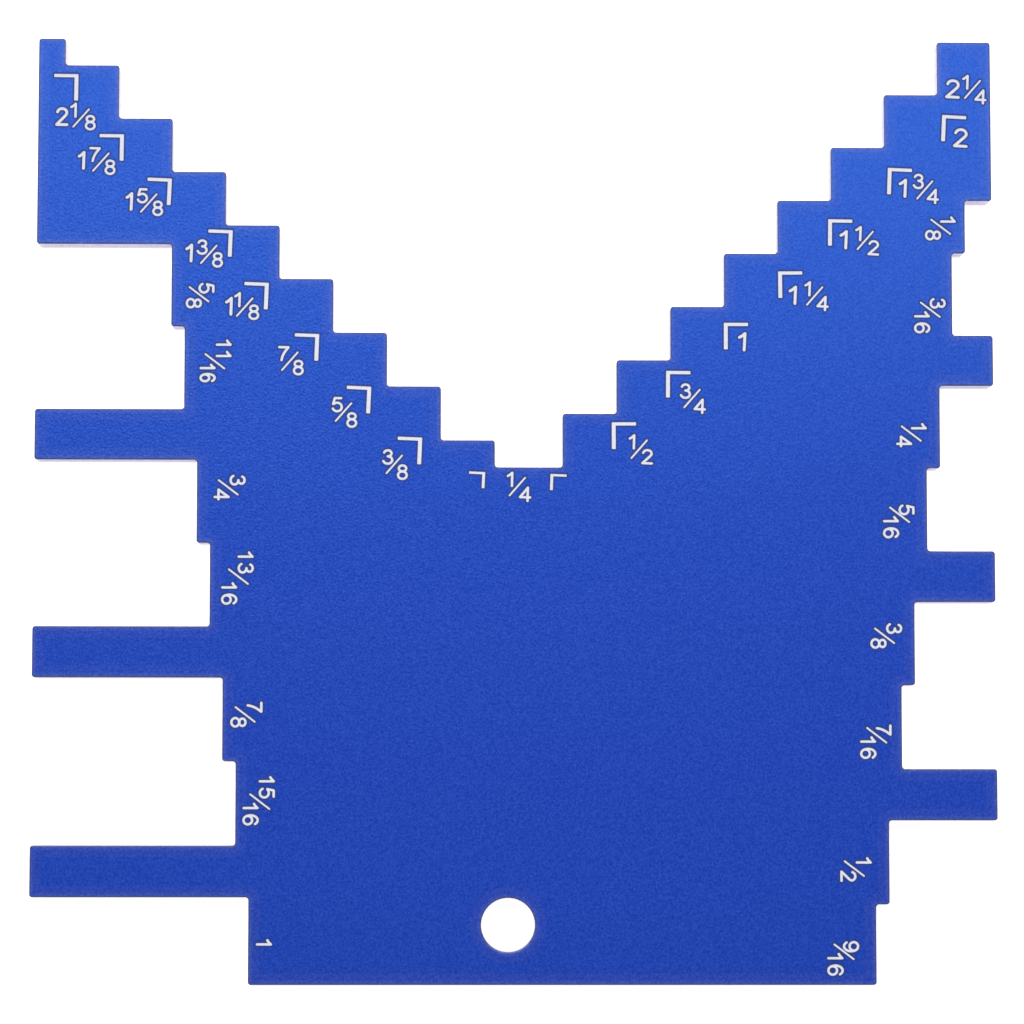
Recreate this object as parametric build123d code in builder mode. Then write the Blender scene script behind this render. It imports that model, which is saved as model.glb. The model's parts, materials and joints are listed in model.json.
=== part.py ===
from build123d import *
import os

os.makedirs("parts", exist_ok=True)

# A table saw height gauge: one flat plate, cut through from a coated sheet.
# Its top edge is a V of stairs that straddles a blade or a cutter, and its
# two sides are graded recesses between fingers that stand on the table.
# Lengths are in millimetres. The plate lies on its back face, with the origin
# in the middle of its outline on that face, and +Y points out of the V.

# Sheet
plate_thickness = 3.0
cut_corner_radius = 0.35

# V: two stairs climb away from a flat notch
notch_width = 7.9375
notch_height = 60.325
stair_run = 6.35
stair_rise = 6.35
stair_steps = 8
left_tip_width = 3.175

# Fingers on both sides, flush with the tips of the V
finger_height = 6.0
finger_pitch = 25.5
finger_count = 3
left_lowest_finger = 10.1
right_lowest_finger = 19.05
right_tab_height = 19.05

# Recesses between the fingers, each with a shelf halfway up that cuts it
# one grade deeper
depth_grade = 1.5875
left_first_depth = 15.875
right_first_depth = 3.175

# Hole for hanging the gauge up
hang_hole_diameter = 6.25
hang_hole_height = 6.92
hang_hole_offset = 2.38

# The left stair stands half a rise out of step with the right one, so that
# the two of them between them read every half rise.
left_first_rise = stair_rise / 2
left_last_rise = stair_rise - left_first_rise
stair_width = stair_steps * stair_run
plate_height = notch_height + stair_steps * stair_rise

# How far the left and the right edge lie from the middle of the notch
left_line = notch_width / 2 + stair_width + left_tip_width
right_line = notch_width / 2 + stair_width
plate_width = left_line + right_line

left_tab_underside = left_lowest_finger + finger_count * finger_pitch
right_tab_underside = plate_height - right_tab_height
shelf_height = (finger_pitch - finger_height) / 2


def stair_corners(side, first_rise):
    """Corners of a stair from the notch outwards. Side is 1 on the right and -1 on the left."""
    corners = [(side * notch_width / 2, notch_height)]
    for step in range(stair_steps):
        inner = notch_width / 2 + step * stair_run
        tread = notch_height + first_rise + step * stair_rise
        corners.append((side * inner, tread))
        corners.append((side * (inner + stair_run), tread))
    return corners


def finger_corners(side, line, first_depth, tab_underside, lowest_finger):
    """Corners from the tab's underside down to the underside of the lowest finger."""
    corners = []
    depth = first_depth
    underside = tab_underside
    for finger in reversed(range(finger_count)):
        foot = lowest_finger + finger * finger_pitch
        top = foot + finger_height
        shelf = top + shelf_height
        corners.append((side * line, underside))
        corners.append((side * (line - depth), underside))
        corners.append((side * (line - depth), shelf))
        depth += depth_grade
        corners.append((side * (line - depth), shelf))
        corners.append((side * (line - depth), top))
        corners.append((side * line, top))
        depth += depth_grade
        underside = foot
    corners.append((side * line, underside))
    corners.append((side * (line - depth), underside))
    return corners


# The last recess on each side runs on to the plate's bottom edge. There the
# right one has room for its shelf, and the left one hasn't.
right_corners = finger_corners(
    1, right_line, right_first_depth, right_tab_underside, right_lowest_finger
)
right_foot_shelf = right_lowest_finger - shelf_height
right_last_line = right_corners[-1][0]
right_corners += [
    (right_last_line, right_foot_shelf),
    (right_last_line - depth_grade, right_foot_shelf),
    (right_last_line - depth_grade, 0),
]
left_corners = finger_corners(
    -1, left_line, left_first_depth, left_tab_underside, left_lowest_finger
)
left_corners.append((left_corners[-1][0], 0))

left_stair = stair_corners(-1, left_first_rise)
left_stair.append((left_stair[-1][0], left_stair[-1][1] + left_last_rise))
left_stair.append((-left_line, plate_height))

outline = (
    stair_corners(1, stair_rise)
    + right_corners
    + left_corners[::-1]
    + left_stair[::-1]
)

# The outline is drawn about the middle of the notch, and this plane brings
# the middle of the whole plate to the origin.
outline_plane = Plane(origin=((left_line - right_line) / 2, -plate_height / 2, 0))

# The fillet stays within a third of the smallest step that it rounds.
corner_radius = min(
    cut_corner_radius, depth_grade / 3, left_first_rise / 3, left_tip_width / 3
)

with BuildPart() as gauge_plate:
    with BuildSketch(outline_plane) as plate_outline:
        with BuildLine():
            Polyline(outline, close=True)
        make_face()
        fillet(plate_outline.vertices(), corner_radius)
        with Locations((-hang_hole_offset, hang_hole_height)):
            Circle(hang_hole_diameter / 2, mode=Mode.SUBTRACT)
    extrude(amount=plate_thickness)

gauge_plate.part.label = "gauge_plate"
export_step(gauge_plate.part, "parts/gauge_plate.step")

print("width", round(plate_width, 3), "height", round(plate_height, 3))
print("volume in cubic millimetres", round(gauge_plate.part.volume, 1))
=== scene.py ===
import json
from collections import namedtuple
from math import atan2, ceil, pi, radians, tan

import bmesh
import bpy
from mathutils import Matrix, Vector

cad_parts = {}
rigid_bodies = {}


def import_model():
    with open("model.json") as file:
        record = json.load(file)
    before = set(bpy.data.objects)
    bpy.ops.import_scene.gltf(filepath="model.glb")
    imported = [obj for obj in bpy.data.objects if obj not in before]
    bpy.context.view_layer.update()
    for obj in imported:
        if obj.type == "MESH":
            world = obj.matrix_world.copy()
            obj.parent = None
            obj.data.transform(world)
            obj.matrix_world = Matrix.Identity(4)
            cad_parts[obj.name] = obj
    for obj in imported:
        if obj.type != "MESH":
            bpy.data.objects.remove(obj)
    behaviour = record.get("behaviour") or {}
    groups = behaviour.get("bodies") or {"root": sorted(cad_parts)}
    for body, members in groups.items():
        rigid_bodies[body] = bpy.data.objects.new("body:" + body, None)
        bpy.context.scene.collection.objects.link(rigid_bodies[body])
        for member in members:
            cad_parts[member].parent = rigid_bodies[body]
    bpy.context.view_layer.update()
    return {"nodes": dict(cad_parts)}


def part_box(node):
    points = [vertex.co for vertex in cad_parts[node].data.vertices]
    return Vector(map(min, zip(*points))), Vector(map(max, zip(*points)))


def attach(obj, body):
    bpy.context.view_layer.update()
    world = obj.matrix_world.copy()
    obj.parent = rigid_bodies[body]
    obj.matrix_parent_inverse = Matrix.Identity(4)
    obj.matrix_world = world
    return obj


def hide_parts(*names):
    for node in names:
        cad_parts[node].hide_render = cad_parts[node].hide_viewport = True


# A table saw height gauge: one blue coated aluminium plate, cut through after
# coating, with its step marks and inch fractions etched through the coat.
# Sizes are in millimetres, and METRE turns them into the frame's metres. Only
# the studio's own sizes are in metres.
METRE = 0.001

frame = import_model()
plate_low, plate_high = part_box("gauge_plate")
TOP = plate_high.z / METRE

# A face is level where its normal has more than this along z. Points nearer to
# each other than SAME_POINT are one, and so are faces that turn from each other
# by less than SAME_PLANE, in degrees.
LEVEL = 0.5
SAME_POINT = 0.0001
SAME_PLANE = 0.5

# Where the sheet was cut, its upper edge rolls over by this much. From there
# inwards the coat is given bands of painted sheen, each this wide, whose lighter
# and whiter blue fades inwards. A band leaves hardly any of the cut corners'
# radius, so what is left of it is welded.
RIM_ROLL = 0.17
RIM_ROLL_STEPS = 2
STRONG_PAINTED_SHEEN_REACH = 0.32
FADING_PAINTED_SHEEN_REACH = 0.22
FAINT_PAINTED_SHEEN_REACH = 0.80
CORNER_WELD = 0.06

# Etching: a shallow burnt margin beside each stroke, then the pale floor. The
# cutters stand up out of the plate by their rise.
BURNT_MARGIN = 0.20
BURNT_DEPTH = 0.012
ETCH_DEPTH = 0.05
CUTTER_RISE = 0.4

# The cut wall is paler towards the sheet's back face, over this share of its
# height
PALE_FOOT_SHARE = 0.5

# How high the finest relief of each surface stands
PEEL_RELIEF = 0.044
STREAK_RELIEF = 0.03
FROST_RELIEF = 0.02

# What is left of the coat's orange peel at the plate's right edge, and of the
# etched floors' painted light at the plate's top edge. The floors are painted
# whiter towards the bottom edge, to even out the key lamp's falloff there.
RIGHT_PEEL_SHARE = 0.30
ETCHED_PAINTED_LIGHT_TOP_SHARE = 0.755

# Where the coat's dark, middle and light speckles lie in its grain. The speckles
# are partly the coat's own grain and partly painted shade and light, standing in
# for the lit and shaded sides of its orange peel.
SPECKLE_STOPS = (0.26, 0.50, 0.74)

# Stroke widths of the etched characters
WHOLE_STROKE = 0.345
FRACTION_STROKE = 0.294
SLASH_STROKE = 0.22

# The characters' unit cells, across and up the letters. The whole pattern of
# marks is a little wider across the plate than along it, so the letters beside
# the recesses, which read down the plate, are a little narrower and taller.
STAIR_CELL = (1.614, 1.554)
SIDE_CELL = (1.554, 1.614)
WHOLE_CELL = (2.06, 1.98)
LEFT_WHOLE_CELL = (1.785, 1.92)
STAIR_SLASH = (1.83, 2.09)
SIDE_SLASH = (1.70, 2.24)

# How far apart the two digits of a number stand
PAIR_PITCH = 1.34

# Each digit is drawn as an engraver's cutter would follow it, in a cell one
# unit high, in strokes whose arcs and straights join end to end:
# ("arc", centre x, centre y, radius x, radius y, from degrees, to degrees)
# ("to", x, y, x, y, ...)
DIGIT_STROKES = {
    "1": (
        (("to", -0.014, 0.734, 0.131, 0.822, 0.298, 0.985, 0.298, -0.01),),
    ),
    "2": (
        (
            ("arc", 0.348, 0.761, 0.311, 0.257, 171, -41),
            ("to", 0.582, 0.592, 0.0, 0.017, 0.685, 0.017),
        ),
    ),
    "3": (
        (("arc", 0.304, 0.781, 0.275, 0.232, 167, -90),),
        (("arc", 0.304, 0.274, 0.331, 0.283, 90, -163),),
    ),
    "4": (
        (("to", 0.543, 0.0, 0.543, 1.003, -0.01, 0.271, 0.723, 0.268),),
    ),
    "5": (
        (("to", 0.583, 0.985, 0.125, 0.985, 0.014, 0.533),),
        (("arc", 0.306, 0.311, 0.338, 0.328, 133, -158),),
    ),
    "6": (
        (("arc", 0.342, 0.294, 0.317, 0.316, 0, 360),),
        (("arc", 0.345, 0.489, 0.368, 0.523, 215, 39),),
    ),
    "7": (
        (("to", -0.015, 0.98, 0.655, 0.98, 0.405, 0.64, 0.243, 0.30, 0.18, -0.003),),
    ),
    "8": (
        (("arc", 0.318, 0.787, 0.277, 0.228, 0, 360),),
        (("arc", 0.320, 0.271, 0.321, 0.284, 0, 360),),
    ),
    "9": (
        (("arc", 0.305, 0.704, 0.318, 0.314, 0, 360),),
        (("arc", 0.302, 0.511, 0.368, 0.523, 35, -141),),
    ),
}
SLASH = (("to", 0, 0, 1, 1),)

# An arc is drawn in steps of about this many degrees, and the segments of a
# stroke are welded where their ends are this near to each other.
ARC_STEP = 15
STROKE_WELD = 0.012

# At a bend gentler than this the blocks of a stroke reach towards its mitred
# point, by this share of the way so that their corners stay clear of each
# other. At a sharper bend and at an end the stroke is rounded by a rod with
# this many sides, whose width is this share of the stroke's.
SHARP_BEND = 30
JOINT_SHARE = 0.5
ROUND_SEGMENTS = 14
ROUND_SHARE = 0.985

# Labels under the stairs, each as its turn to the right in degrees, its whole
# number and the place of it, the digits over the slash and theirs, the slash's
# place, and the digits under it and theirs. A place is a lower left corner, and
# None stands for what a label hasn't got.
STAIR_LABELS = (
    (2.6, "2", (50.96, 48.79), "1", (52.97, 49.87), (53.20, 48.74), "4", (54.42, 48.11)),
    (3.2, "2", (51.83, 42.92), None, None, None, None, None),
    (3.0, "1", (45.30, 36.91), "3", (47.02, 37.93), (47.42, 36.67), "4", (48.64, 36.17)),
    (3.0, "1", (38.24, 30.73), "1", (40.11, 31.71), (40.32, 30.61), "2", (41.58, 29.97)),
    (2.8, "1", (32.19, 24.09), "1", (34.06, 25.10), (34.29, 23.97), "4", (35.50, 23.35)),
    (3.3, "1", (26.17, 18.56), None, None, None, None, None),
    (2.0, None, None, "3", (19.36, 12.88), (19.77, 11.77), "4", (20.96, 11.11)),
    (1.8, None, None, "1", (13.30, 6.89), (13.53, 5.76), "2", (14.78, 5.10)),
    (1.6, None, None, "1", (-1.02, 2.44), (-0.78, 1.32), "4", (0.42, 0.67)),
    (1.1, None, None, "3", (-15.61, 5.01), (-15.22, 3.91), "8", (-13.91, 3.23)),
    (1.0, None, None, "5", (-21.57, 11.19), (-21.20, 10.05), "8", (-19.87, 9.36)),
    (1.4, None, None, "7", (-27.92, 17.20), (-27.53, 16.05), "8", (-26.18, 15.54)),
    (1.6, "1", (-34.17, 22.60), "1", (-33.11, 23.59), (-32.87, 22.44), "8", (-31.45, 22.08)),
    (2.0, "1", (-38.90, 28.91), "3", (-37.56, 29.80), (-37.14, 28.69), "8", (-35.76, 28.29)),
    (1.9, "1", (-46.00, 35.01), "5", (-44.65, 35.90), (-44.26, 34.77), "8", (-42.85, 34.39)),
    (1.6, "1", (-51.66, 39.89), "7", (-50.32, 40.78), (-49.94, 39.63), "8", (-48.50, 39.26)),
    (0.9, "2", (-54.35, 45.05), "1", (-52.59, 46.07), (-52.32, 44.89), "8", (-50.88, 44.57)),
)

# Labels beside the recesses, without a turn or a whole number before them. They
# read down the plate, so their places are given along the reading direction and
# up the letters.
SIDE_LABELS = (
    ("1", (-34.66, 50.23), (-34.38, 49.07), "8", (-33.06, 48.42)),
    ("3", (-24.92, 48.90), (-24.49, 47.75), "16", (-23.36, 47.05)),
    ("1", (-10.08, 46.57), (-9.80, 45.37), "4", (-8.61, 44.80)),
    ("5", (-0.46, 45.03), (-0.21, 43.92), "16", (0.89, 43.19)),
    ("3", (13.49, 43.44), (14.01, 42.04), "8", (15.22, 41.59)),
    ("7", (25.34, 42.13), (25.63, 41.03), "16", (26.72, 40.31)),
    ("1", (40.77, 39.70), (41.13, 38.30), "2", (42.29, 37.85)),
    ("9", (50.46, 38.12), (50.75, 37.03), "16", (51.84, 36.31)),
    ("5", (-26.46, -37.29), (-26.06, -38.45), "8", (-24.69, -38.78)),
    ("11", (-19.75, -35.21), (-18.13, -36.53), "16", (-16.89, -37.08)),
    ("3", (-3.78, -33.49), (-3.27, -34.86), "4", (-2.17, -35.34)),
    ("13", (5.21, -32.47), (7.20, -33.59), "16", (8.82, -34.36)),
    ("7", (22.76, -31.31), (23.29, -32.69), "8", (24.51, -33.19)),
    ("15", (31.40, -29.82), (33.41, -30.92), "16", (34.50, -31.69)),
    ("1", (50.25, -30.04), None, None, None),
)

# Under this number the digits are squeezed to this share of their width
SQUEEZED_UNDER = "11"
SQUEEZE_SHARE = 0.82

# Corner marks under the treads: the outer corner of each and its turn to the
# right in degrees. On the left stair the arms go to the left and down, and on
# the right one to the right and down. The marks' sizes and the widths of their
# strokes are given across and along the plate.
LEFT_MARKS = (
    (-51.65, 51.29, 0.5), (-46.22, 44.12, 0.5), (-40.52, 38.85, 2.4),
    (-33.31, 32.73, 1.9), (-29.02, 26.49, 2.2), (-23.06, 20.43, 2.0),
    (-16.92, 14.22, 2.4), (-10.92, 8.23, 2.2),
)
RIGHT_MARKS = (
    (11.33, 10.09, -0.3), (17.75, 16.20, 0.5), (24.57, 21.92, 0.1),
    (31.00, 28.04, -0.5), (36.97, 34.29, 0.8), (44.09, 40.46, 2.3),
    (50.59, 46.83, 2.8),
)
MARK_ARM = (2.87, 3.17)
MARK_STROKE = (0.468, 0.40)
NOTCH_MARKS = ((-3.52, 4.18, 2.6), (4.135, 3.99, 2.0))
NOTCH_MARK_ARM = (1.90, 1.92)
NOTCH_MARK_STROKE = (0.34, 0.29)

# A mark's outer corners are eased by this share of its narrower stroke, in this
# many facets.
MARK_END_SHARE = 0.22
MARK_END_SEGMENTS = 4

# The plate's slots, in the order in which it is given its finishes
BARE_WALL, COAT, ETCHED, BURNT = range(4)
# Here the rolled edge is darkened with painted shade and worn through in places, and the other
# three are bands of painted sheen along the cut edges, a lighter and whiter blue that fades
# inwards.
STRONG_PAINTED_SHEEN, ROLLED_EDGE_SHADED_AND_WORN, FADING_PAINTED_SHEEN, FAINT_PAINTED_SHEEN = range(4, 8)

# Studio, in metres. The floor lies a hair under the plate, and its glow makes it
# look white. The world looks white too, and lights the plate by its fill.
FLOOR_REACH = 3.0
FLOOR_DROP = 0.00002
FLOOR_GLOW = 0.7
WORLD_FILL = 0.36

# Soft boxes, each with its place, its width and height, and its power in watts.
# All of them point at the plate.
SOFT_BOXES = (
    ("key_light", (0.0, 0.125, 0.28), (0.36, 0.13), 0.796),
    ("low_light", (0.0, 0.30, 0.12), (0.40, 0.06), 0.20),
)

# The camera's place, its turn in degrees, its sensor and lens in millimetres, and
# the nearest distance that it sees
CAMERA_PLACE = (-0.006796, -0.031930, 0.4)
CAMERA_TURN = (4.5213, -0.9298, 0.0468)
CAMERA_SENSOR = 36.0
CAMERA_LENS = 119.455
CAMERA_CLIP = 0.01


# Cutters

# One depth of cut: the cutters that sink to it, the straight and the round one
# that the strokes share, the height of the floor that they leave and its slot,
# and how far they reach beyond each stroke's own edge
Cut = namedtuple("Cut", "cutters block rod floor_z floor_slot margin")

# Stands a unit shape, which is made about its middle, on its foot
ON_FOOT = Matrix.Translation((0, 0, 0.5))


def cutter_mesh(name, solid, floor_slot):
    """A cutter's mesh. Its foot leaves the floor of the cut, and its sides a burnt wall."""
    solid.normal_update()
    for face in solid.faces:
        face.material_index = floor_slot if face.normal.z < -LEVEL else BURNT
    mesh = bpy.data.meshes.new(name)
    solid.to_mesh(mesh)
    solid.free()
    return mesh


def start_cut(name, depth, floor_slot, margin):
    """A depth of cut, still without cutters."""
    cutters = bpy.data.collections.new(name)
    bpy.context.scene.collection.children.link(cutters)
    block = bmesh.new()
    bmesh.ops.create_cube(block, size=1, matrix=ON_FOOT)
    rod = bmesh.new()
    bmesh.ops.create_cone(
        rod, cap_ends=True, cap_tris=False, segments=ROUND_SEGMENTS,
        radius1=ROUND_SHARE / 2, radius2=ROUND_SHARE / 2, depth=1, matrix=ON_FOOT,
    )
    return Cut(
        cutters, cutter_mesh(name, block, floor_slot), cutter_mesh(name, rod, floor_slot),
        TOP - depth, floor_slot, margin,
    )


def cutter_height(cut):
    return TOP + CUTTER_RISE - cut.floor_z


def stand_cutter(cut, mesh, place):
    """Stands a cutter on the floor of its cut, at its place in millimetres."""
    cutter = bpy.data.objects.new(cut.cutters.name, mesh)
    standing = Matrix.Translation((0, 0, cut.floor_z)) @ place
    cutter.matrix_world = Matrix.Scale(METRE, 4) @ standing
    cut.cutters.objects.link(cutter)


def leaning(degrees):
    """A turn to the right."""
    return Matrix.Rotation(-radians(degrees), 4, "Z")


def draw_path(line, segments, cell):
    """A stroke's centre line, as a welded chain of edges scaled to its cell."""
    for segment in segments:
        if segment[0] == "arc":
            centre_x, centre_y, radius_x, radius_y, start, end = segment[1:]
            pen = bmesh.ops.create_vert(line, co=(1, 0, 0))["vert"]
            bmesh.ops.rotate(
                line, verts=pen, cent=(0, 0, 0), matrix=Matrix.Rotation(radians(start), 3, "Z")
            )
            bmesh.ops.spin(
                line, geom=pen, cent=(0, 0, 0), axis=(0, 0, 1), dvec=(0, 0, 0),
                angle=radians(end - start), steps=ceil(abs(end - start) / ARC_STEP),
                use_duplicate=False,
            )
            drawn = [vert for vert in line.verts if not vert.tag]
            bmesh.ops.scale(line, verts=drawn, vec=(radius_x, radius_y, 1))
            bmesh.ops.translate(line, verts=drawn, vec=(centre_x, centre_y, 0))
        else:
            drawn = [
                bmesh.ops.create_vert(line, co=(x, y, 0))["vert"][0]
                for x, y in zip(segment[1::2], segment[2::2])
            ]
            for pair in zip(drawn, drawn[1:]):
                bmesh.ops.contextual_create(line, geom=pair)
        for vert in drawn:
            vert.tag = True
    bmesh.ops.scale(line, verts=line.verts, vec=(cell[0], cell[1], 1))
    bmesh.ops.remove_doubles(line, verts=line.verts, dist=STROKE_WELD)


def bend(end, edge):
    """How far a stroke turns at the end of an edge, or None where it ends or bends sharply."""
    onward = [other for other in end.link_edges if other is not edge]
    if not onward:
        return None
    along = end.co - edge.other_vert(end).co
    angle = along.angle(onward[0].other_vert(end).co - end.co)
    return angle if angle < radians(SHARP_BEND) else None


def stroke_cutter(cut, segments, cell, stroke, place):
    """Blocks along one stroke's centre line, with rods at its ends and sharp bends."""
    line = bmesh.new()
    draw_path(line, segments, cell)
    width = stroke + cut.margin * 2
    height = cutter_height(cut)
    for edge in line.edges:
        ends = []
        for end in edge.verts:
            along = (end.co - edge.other_vert(end).co).normalized()
            angle = bend(end, edge) or 0
            ends.append(end.co + along * (width / 2 * tan(angle / 2) * JOINT_SHARE))
        run = ends[1] - ends[0]
        stand_cutter(
            cut, cut.block,
            place @ Matrix.Translation((ends[0] + ends[1]) / 2)
            @ Matrix.Rotation(atan2(run.y, run.x), 4, "Z")
            @ Matrix.Diagonal((run.length, width, height, 1)),
        )
    for vert in line.verts:
        if bend(vert, vert.link_edges[0]) is None:
            stand_cutter(
                cut, cut.rod,
                place @ Matrix.Translation(vert.co) @ Matrix.Diagonal((width, width, height, 1)),
            )
    line.free()


def character_cutter(cut, strokes, at, cell, stroke, turn, lean=0.0):
    """A character whose cell stands half a stroke inside the point at."""
    place = turn @ Matrix.Translation((at[0] + stroke / 2, at[1] + stroke / 2, 0)) @ leaning(lean)
    for segments in strokes:
        stroke_cutter(cut, segments, cell, stroke, place)


def fraction_cutter(cut, fraction, cell, slash, turn, lean=0.0):
    """The digits over and under the slash, and the slash."""
    over, over_at, slash_at, under, under_at = fraction
    if under:
        character_cutter(cut, (SLASH,), slash_at, slash, SLASH_STROKE, turn)
    under_share = SQUEEZE_SHARE if over == SQUEEZED_UNDER else 1.0
    for text, at, share in ((over, over_at, 1.0), (under, under_at, under_share)):
        for index, digit in enumerate(text or ""):
            character_cutter(
                cut, DIGIT_STROKES[digit], (at[0] + index * PAIR_PITCH * share, at[1]),
                (cell[0] * share, cell[1]), FRACTION_STROKE, turn, lean,
            )


def corner_mark_cutter(cut, corner, side, arm, stroke):
    """An angle of two arms with eased corners, set out from its outer corner."""
    x, y, lean = corner
    height = cutter_height(cut)
    angle = bmesh.new()
    bmesh.ops.create_cube(angle, size=1, matrix=ON_FOOT)
    bmesh.ops.scale(
        angle, verts=angle.verts,
        vec=(stroke[0] + cut.margin * 2, stroke[1] + cut.margin * 2, height),
    )
    bmesh.ops.translate(angle, verts=angle.verts, vec=(side * stroke[0] / 2, -stroke[1] / 2, 0))
    runs = (
        Vector((side * (arm[0] - stroke[0]), 0, 0)),
        Vector((0, stroke[1] - arm[1], 0)),
    )
    ends = [max(angle.faces, key=lambda face: face.normal.dot(run)) for run in runs]
    for end, run in zip(ends, runs):
        arm_end = bmesh.ops.extrude_discrete_faces(angle, faces=[end])["faces"][0]
        bmesh.ops.translate(angle, verts=arm_end.verts, vec=run)
    bmesh.ops.recalc_face_normals(angle, faces=angle.faces)
    eased = [
        edge for edge in angle.edges
        if abs(edge.verts[0].co.z - edge.verts[1].co.z) > height / 2
        and edge.is_convex and edge.calc_face_angle() > radians(SHARP_BEND)
    ]
    bmesh.ops.bevel(
        angle, geom=eased, offset=min(stroke) * MARK_END_SHARE + cut.margin,
        affect="EDGES", segments=MARK_END_SEGMENTS, profile=0.5, material=-1,
    )
    mesh = cutter_mesh(cut.cutters.name, angle, cut.floor_slot)
    stand_cutter(cut, mesh, Matrix.Translation((x, y, 0)) @ leaning(lean))


def every_mark(cut):
    """The cutters of every mark on the plate."""
    upright = Matrix.Identity(4)
    reading_down = Matrix.Rotation(-pi / 2, 4, "Z")
    for lean, whole, whole_at, *fraction in STAIR_LABELS:
        if whole:
            cell = LEFT_WHOLE_CELL if whole_at[0] < 0 else WHOLE_CELL
            strokes = DIGIT_STROKES[whole]
            character_cutter(cut, strokes, whole_at, cell, WHOLE_STROKE, upright, lean)
        fraction_cutter(cut, fraction, STAIR_CELL, STAIR_SLASH, upright, lean)
    for fraction in SIDE_LABELS:
        fraction_cutter(cut, fraction, SIDE_CELL, SIDE_SLASH, reading_down)
    for corner in LEFT_MARKS:
        corner_mark_cutter(cut, corner, -1, MARK_ARM, MARK_STROKE)
    for corner in RIGHT_MARKS:
        corner_mark_cutter(cut, corner, 1, MARK_ARM, MARK_STROKE)
    for corner, side in zip(NOTCH_MARKS, (-1, 1)):
        corner_mark_cutter(cut, corner, side, NOTCH_MARK_ARM, NOTCH_MARK_STROKE)


def sink(plate, cut):
    """Sinks one depth of cut into the plate, and clears its cutters away."""
    groove = plate.modifiers.new(cut.cutters.name, "BOOLEAN")
    groove.operation = "DIFFERENCE"
    groove.solver = "MANIFOLD"
    groove.material_mode = "INDEX"
    groove.operand_type = "COLLECTION"
    groove.collection = cut.cutters
    evaluated = plate.evaluated_get(bpy.context.evaluated_depsgraph_get())
    grooved = bpy.data.meshes.new_from_object(evaluated)
    plate.modifiers.clear()
    before = plate.data
    plate.data = grooved
    grooved.name = before.name
    bpy.data.meshes.remove(before)
    spent = {cutter.data for cutter in cut.cutters.objects}
    for cutter in list(cut.cutters.objects):
        bpy.data.objects.remove(cutter)
    for mesh in spent:
        bpy.data.meshes.remove(mesh)
    bpy.data.collections.remove(cut.cutters)


# Materials

def shader_tree(name):
    """A new material, with its nodes, its links and its main shader."""
    material = bpy.data.materials.new(name)
    material.use_nodes = True
    tree = material.node_tree
    return material, tree.nodes, tree.links, tree.nodes["Principled BSDF"]


def distance_along(nodes, links, axis):
    """How far a point lies along one of the plate's own axes."""
    place = nodes.new("ShaderNodeTexCoord")
    axes = nodes.new("ShaderNodeSeparateXYZ")
    links.new(place.outputs["Object"], axes.inputs["Vector"])
    return axes.outputs[axis]


def grain(nodes, links, name, per_metre, detail, stretch=(1.0, 1.0, 1.0)):
    """A noise that stays fixed to the plate, with this many grains to a metre."""
    coordinates = nodes.new("ShaderNodeTexCoord")
    mapping = nodes.new("ShaderNodeMapping")
    mapping.inputs["Scale"].default_value = stretch
    noise = nodes.new("ShaderNodeTexNoise")
    noise.name = name
    noise.inputs["Scale"].default_value = per_metre
    noise.inputs["Detail"].default_value = detail
    links.new(coordinates.outputs["Object"], mapping.inputs["Vector"])
    links.new(mapping.outputs["Vector"], noise.inputs["Vector"])
    return noise.outputs["Fac"]


def tone_ramp(nodes, links, factor, stops):
    """Colours picked by a factor, from stops of a position and a colour each."""
    ramp = nodes.new("ShaderNodeValToRGB")
    ramp.color_ramp.elements[0].position = stops[0][0]
    ramp.color_ramp.elements[0].color = (*stops[0][1], 1)
    ramp.color_ramp.elements[1].position = stops[-1][0]
    ramp.color_ramp.elements[1].color = (*stops[-1][1], 1)
    for position, colour in stops[1:-1]:
        ramp.color_ramp.elements.new(position).color = (*colour, 1)
    links.new(factor, ramp.inputs["Fac"])
    return ramp.outputs["Color"]


def weakening(nodes, links, axis, last):
    """A value that falls evenly along an axis, from 1 at the plate's low edge to last at
    its high edge."""
    index = "XYZ".index(axis)
    fall = nodes.new("ShaderNodeMapRange")
    fall.inputs["From Min"].default_value = plate_low[index]
    fall.inputs["From Max"].default_value = plate_high[index]
    fall.inputs["To Min"].default_value = 1.0
    fall.inputs["To Max"].default_value = last
    links.new(distance_along(nodes, links, axis), fall.inputs["Value"])
    return fall.outputs["Result"]


def relief(nodes, links, height, rise, shader, strength=1.0):
    """Fine relief in a surface, which stands this many millimetres high."""
    bump = nodes.new("ShaderNodeBump")
    bump.inputs["Strength"].default_value = strength
    bump.inputs["Distance"].default_value = rise * METRE
    links.new(height, bump.inputs["Height"])
    links.new(bump.outputs["Normal"], shader.inputs["Normal"])
    return bump


def satin_coat(name, tones):
    """A fine grained coat with a satin sheen of its own tint, from its dark, middle and
    light tones. Its slight orange peel weakens towards the right edge of the plate."""
    material, nodes, links, shader = shader_tree(name)
    # Partly painted shade and light: the speckle tones stand in for the lit and shaded sides of
    # the orange peel's grains, as well as the coat's own grain.
    speckle = grain(nodes, links, "speckle", 3900, 1, (1.15, 1.0, 1.0))
    colour = tone_ramp(nodes, links, speckle, tuple(zip(SPECKLE_STOPS, tones)))
    links.new(colour, shader.inputs["Base Color"])
    shader.inputs["Roughness"].default_value = 0.30
    shader.inputs["Specular IOR Level"].default_value = 0.53
    shader.inputs["Specular Tint"].default_value = (0.121, 0.41, 1.0, 1)
    peel = grain(nodes, links, "orange_peel", 3300, 1, (1.2, 1.05, 1.0))
    bump = relief(nodes, links, peel, PEEL_RELIEF, shader)
    links.new(weakening(nodes, links, "X", RIGHT_PEEL_SHARE), bump.inputs["Strength"])
    return material


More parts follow.
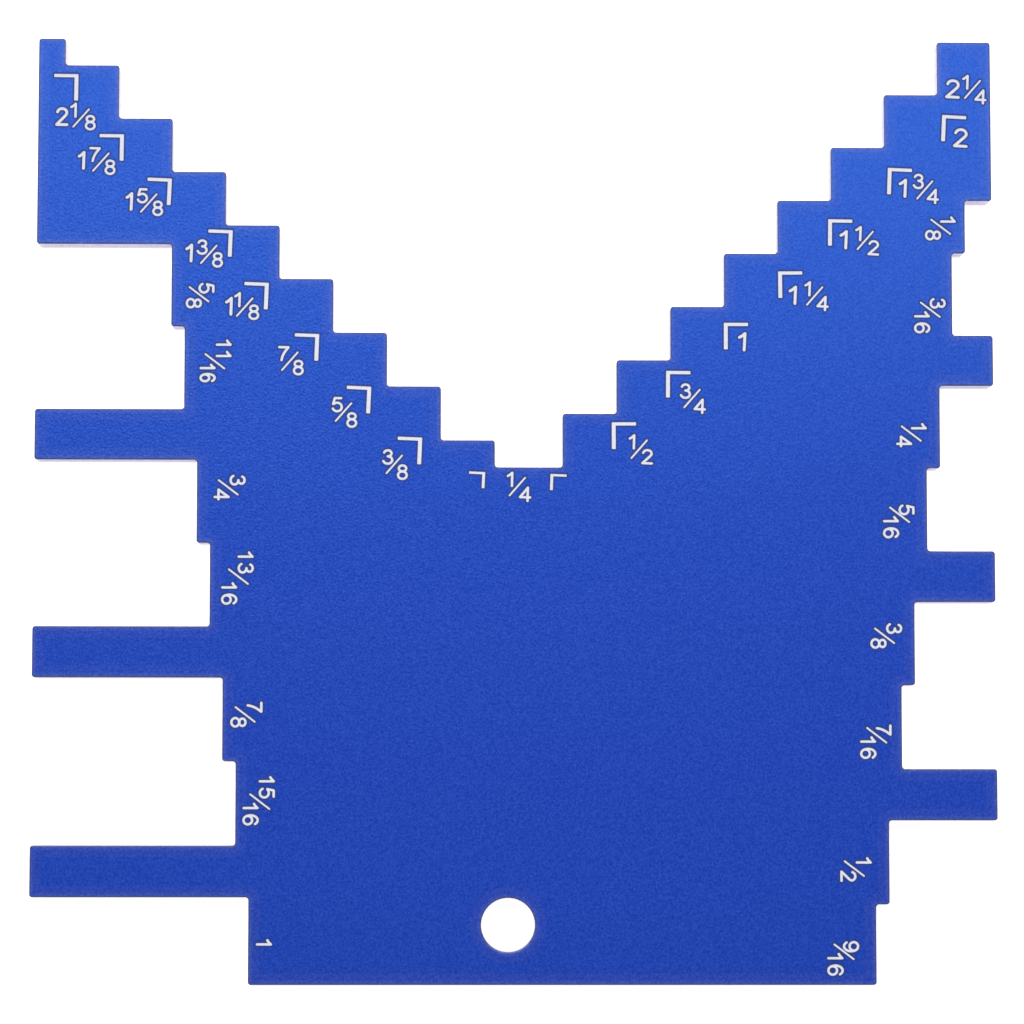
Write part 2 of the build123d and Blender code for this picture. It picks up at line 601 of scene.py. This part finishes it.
def blue_satin_coat():
    """The coat over most of the plate, inside the bands of painted sheen."""
    return satin_coat("blue_satin_coat", (
        (0.0057, 0.0290, 0.366), (0.0148, 0.0483, 0.425), (0.0262, 0.0706, 0.487),
    ))


def blue_coat_faint_painted_sheen():
    """The faintest painted sheen, on the outermost part of the full coat, a shade lighter than
    the rest.
    """
    return satin_coat("blue_coat_faint_painted_sheen", (
        (0.0128, 0.0340, 0.357), (0.0243, 0.0540, 0.415), (0.0372, 0.0775, 0.476),
    ))


def blue_coat_fading_painted_sheen():
    """The coat a little away from the edge, with a fading painted sheen."""
    return satin_coat("blue_coat_fading_painted_sheen", (
        (0.022, 0.0435, 0.371), (0.036, 0.067, 0.430), (0.051, 0.092, 0.491),
    ))


def blue_coat_strong_painted_sheen():
    """The coat beside the edge, with the strongest painted sheen, a greyer and whiter blue."""
    return satin_coat("blue_coat_strong_painted_sheen", (
        (0.033, 0.0505, 0.329), (0.052, 0.079, 0.387), (0.072, 0.106, 0.449),
    ))


def rolled_edge_shaded_and_worn():
    """The rolled edge of the coat, darkened with painted shade, with the metal faintly through it
    in places.
    """
    material, nodes, links, shader = shader_tree("rolled_edge_shaded_and_worn")
    shade_and_wear = grain(nodes, links, "shade_and_wear", 1300, 2)
    # The two darker tones are painted shade of the edge turning away from the lamps, and the
    # palest one is metal showing through where the coat is worn.
    colour = tone_ramp(nodes, links, shade_and_wear, (
        (0.30, (0.016, 0.032, 0.188)),
        (0.62, (0.030, 0.052, 0.262)),
        (0.74, (0.100, 0.133, 0.362)),
    ))
    links.new(colour, shader.inputs["Base Color"])
    shader.inputs["Roughness"].default_value = 0.32
    shader.inputs["Specular IOR Level"].default_value = 0.5
    return material


def bare_cut_aluminium():
    """The wall left by the cut: metal with fine marks through the sheet, paler at its foot."""
    material, nodes, links, shader = shader_tree("bare_cut_aluminium")
    streaks = grain(nodes, links, "cut_streaks", 2600, 3, (1.0, 1.0, 0.12))
    colour = tone_ramp(nodes, links, streaks, (
        (0.3, (0.46, 0.44, 0.65)),
        (0.7, (0.61, 0.59, 0.79)),
    ))
    height = nodes.new("ShaderNodeMapRange")
    height.interpolation_type = "SMOOTHSTEP"
    height.inputs["From Max"].default_value = TOP * METRE * PALE_FOOT_SHARE
    links.new(distance_along(nodes, links, "Z"), height.inputs["Value"])
    fade = nodes.new("ShaderNodeMix")
    fade.data_type = "RGBA"
    fade.inputs["A"].default_value = (0.80, 0.76, 0.86, 1)
    links.new(height.outputs["Result"], fade.inputs["Factor"])
    links.new(colour, fade.inputs["B"])
    links.new(fade.outputs["Result"], shader.inputs["Base Color"])
    shader.inputs["Metallic"].default_value = 0.6
    shader.inputs["Roughness"].default_value = 0.36
    relief(nodes, links, streaks, STREAK_RELIEF, shader, 0.3)
    return material


def etched_metal():
    """The frosted floor of the etched marks, painted a little whiter towards the bottom edge, as
    painted light against the key lamp's falloff.
    """
    material, nodes, links, shader = shader_tree("etched_metal")
    frost = grain(nodes, links, "frost", 5200, 2)
    colour = tone_ramp(nodes, links, frost, (
        (0.3, (0.780, 0.802, 0.915)),
        (0.7, (0.922, 0.938, 0.995)),
    ))
    # Painted light: the floors' colour is multiplied down towards the top edge, so they read
    # whiter towards the bottom, where the key lamp gives less.
    shade = nodes.new("ShaderNodeMix")
    shade.data_type = "RGBA"
    shade.blend_type = "MULTIPLY"
    shade.inputs["Factor"].default_value = 1.0
    links.new(colour, shade.inputs["A"])
    links.new(weakening(nodes, links, "Y", ETCHED_PAINTED_LIGHT_TOP_SHARE), shade.inputs["B"])
    links.new(shade.outputs["Result"], shader.inputs["Base Color"])
    shader.inputs["Roughness"].default_value = 0.7
    shader.inputs["Specular IOR Level"].default_value = 0.3
    relief(nodes, links, frost, FROST_RELIEF, shader, 0.2)
    return material


def burnt_coat():
    """The coat beside the etching, darkened by its heat."""
    material, nodes, links, shader = shader_tree("burnt_coat")
    scorch = grain(nodes, links, "scorch", 6000, 2)
    colour = tone_ramp(nodes, links, scorch, (
        (0.3, (0.013, 0.034, 0.180)),
        (0.7, (0.026, 0.055, 0.265)),
    ))
    links.new(colour, shader.inputs["Base Color"])
    shader.inputs["Roughness"].default_value = 0.6
    shader.inputs["Specular IOR Level"].default_value = 0.2
    return material


# The finished plate

def is_upper_coat(face):
    return face.normal.z > LEVEL and face.material_index == COAT


def inset_band(blank, reach, slot):
    """A band of another slot, with painted sheen, round the upper face, inside the bands before
    it.
    """
    inner = [face for face in blank.faces if is_upper_coat(face)]
    band = bmesh.ops.inset_region(
        blank, faces=inner, thickness=reach * METRE, use_even_offset=True
    )["faces"]
    for face in band:
        face.material_index = slot
    corners = [
        vert for vert in blank.verts
        if any(is_upper_coat(face) for face in vert.link_faces)
    ]
    bmesh.ops.remove_doubles(blank, verts=corners, dist=CORNER_WELD * METRE)


def plate_blank():
    """The CAD plate's own shape, merged, with the cut edge of its coat rolled over."""
    blank = bmesh.new()
    blank.from_mesh(frame["nodes"]["gauge_plate"].data)
    bmesh.ops.remove_doubles(blank, verts=blank.verts, dist=SAME_POINT * METRE)
    bmesh.ops.dissolve_limit(
        blank, angle_limit=radians(SAME_PLANE), verts=blank.verts, edges=blank.edges,
        use_dissolve_boundaries=False,
    )
    for face in blank.faces:
        face.material_index = COAT if abs(face.normal.z) > LEVEL else BARE_WALL
    for reach, slot in (
        (STRONG_PAINTED_SHEEN_REACH, STRONG_PAINTED_SHEEN), (FADING_PAINTED_SHEEN_REACH, FADING_PAINTED_SHEEN),
        (FAINT_PAINTED_SHEEN_REACH, FAINT_PAINTED_SHEEN),
    ):
        inset_band(blank, reach, slot)
    rim = [
        edge for edge in blank.edges
        if {face.material_index for face in edge.link_faces} == {STRONG_PAINTED_SHEEN, BARE_WALL}
    ]
    bmesh.ops.bevel(
        blank, geom=rim, offset=RIM_ROLL * METRE, affect="EDGES",
        segments=RIM_ROLL_STEPS, profile=0.5, material=ROLLED_EDGE_SHADED_AND_WORN, clamp_overlap=True,
    )
    bmesh.ops.recalc_face_normals(blank, faces=blank.faces)
    mesh = bpy.data.meshes.new("finished_plate")
    blank.to_mesh(mesh)
    blank.free()
    plate = bpy.data.objects.new("finished_plate", mesh)
    bpy.context.scene.collection.objects.link(plate)
    return plate


def clear_slivers(plate):
    """Takes out the cuts' needle faces, and the empty slot that the cutters brought."""
    solid = bmesh.new()
    solid.from_mesh(plate.data)
    bmesh.ops.dissolve_degenerate(solid, dist=SAME_POINT * METRE, edges=solid.edges)
    solid.to_mesh(plate.data)
    solid.free()
    while plate.data.materials[-1] is None:
        plate.data.materials.pop()


plate = plate_blank()
for finish in (
    bare_cut_aluminium, blue_satin_coat, etched_metal, burnt_coat, blue_coat_strong_painted_sheen,
    rolled_edge_shaded_and_worn, blue_coat_fading_painted_sheen, blue_coat_faint_painted_sheen,
):
    plate.data.materials.append(finish())
for cut in (
    start_cut("burnt_margin", BURNT_DEPTH, BURNT, BURNT_MARGIN),
    start_cut("etched_stroke", ETCH_DEPTH, ETCHED, 0.0),
):
    every_mark(cut)
    sink(plate, cut)
clear_slivers(plate)
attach(plate, "root")
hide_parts("gauge_plate")


# Studio

def looked_at(nodes, links):
    """1 for what the camera sees, plainly or in a sheen, and 0 for what only gives light."""
    rays = nodes.new("ShaderNodeLightPath")
    either = nodes.new("ShaderNodeMath")
    either.operation = "MAXIMUM"
    links.new(rays.outputs["Is Camera Ray"], either.inputs[0])
    links.new(rays.outputs["Is Glossy Ray"], either.inputs[1])
    return either.outputs["Value"]


def floor_white():
    """A pale floor that keeps a soft shadow and reads as white to the camera."""
    material = bpy.data.materials.new("floor_white")
    material.use_nodes = True
    nodes = material.node_tree.nodes
    links = material.node_tree.links
    nodes.clear()
    output = nodes.new("ShaderNodeOutputMaterial")
    paint = nodes.new("ShaderNodeBsdfDiffuse")
    paint.inputs["Color"].default_value = (0.8, 0.8, 0.8, 1)
    glow = nodes.new("ShaderNodeEmission")
    level = nodes.new("ShaderNodeMath")
    level.operation = "MULTIPLY"
    level.inputs[1].default_value = FLOOR_GLOW
    links.new(looked_at(nodes, links), level.inputs[0])
    links.new(level.outputs["Value"], glow.inputs["Strength"])
    both = nodes.new("ShaderNodeAddShader")
    links.new(paint.outputs["BSDF"], both.inputs[0])
    links.new(glow.outputs["Emission"], both.inputs[1])
    links.new(both.outputs["Shader"], output.inputs["Surface"])
    return material


def studio_floor():
    sheet = bmesh.new()
    bmesh.ops.create_grid(sheet, x_segments=1, y_segments=1, size=FLOOR_REACH)
    bmesh.ops.translate(sheet, verts=sheet.verts, vec=(0, 0, -FLOOR_DROP))
    mesh = bpy.data.meshes.new("studio_floor")
    sheet.to_mesh(mesh)
    sheet.free()
    floor = bpy.data.objects.new("studio_floor", mesh)
    bpy.context.scene.collection.objects.link(floor)
    mesh.materials.append(floor_white())


def studio_world():
    """A world that looks white and gives a weaker fill light."""
    world = bpy.data.worlds.new("studio")
    bpy.context.scene.world = world
    world.use_nodes = True
    nodes = world.node_tree.nodes
    links = world.node_tree.links
    background = nodes["Background"]
    background.inputs["Color"].default_value = (1, 1, 1, 1)
    level = nodes.new("ShaderNodeMapRange")
    level.inputs["To Min"].default_value = WORLD_FILL
    level.inputs["To Max"].default_value = 1.0
    links.new(looked_at(nodes, links), level.inputs["Value"])
    links.new(level.outputs["Result"], background.inputs["Strength"])


def soft_box(name, place, size, power):
    """A lamp that points at the plate."""
    lamp = bpy.data.lights.new(name, "AREA")
    lamp.shape = "RECTANGLE"
    lamp.size, lamp.size_y = size
    lamp.energy = power
    box = bpy.data.objects.new(name, lamp)
    box.location = place
    box.rotation_euler = (-Vector(place)).to_track_quat("-Z", "Y").to_euler()
    box.visible_camera = False
    bpy.context.scene.collection.objects.link(box)


def studio_camera():
    """The camera, in the photograph's own view of the plate."""
    view = bpy.data.cameras.new("photograph_view")
    view.sensor_fit = "HORIZONTAL"
    view.sensor_width = CAMERA_SENSOR
    view.lens = CAMERA_LENS
    view.clip_start = CAMERA_CLIP
    camera = bpy.data.objects.new("photograph_view", view)
    camera.location = CAMERA_PLACE
    camera.rotation_euler = [radians(turn) for turn in CAMERA_TURN]
    bpy.context.scene.collection.objects.link(camera)
    bpy.context.scene.camera = camera


studio_floor()
studio_world()
for box in SOFT_BOXES:
    soft_box(*box)
studio_camera()
bpy.context.scene.view_settings.view_transform = "Standard"
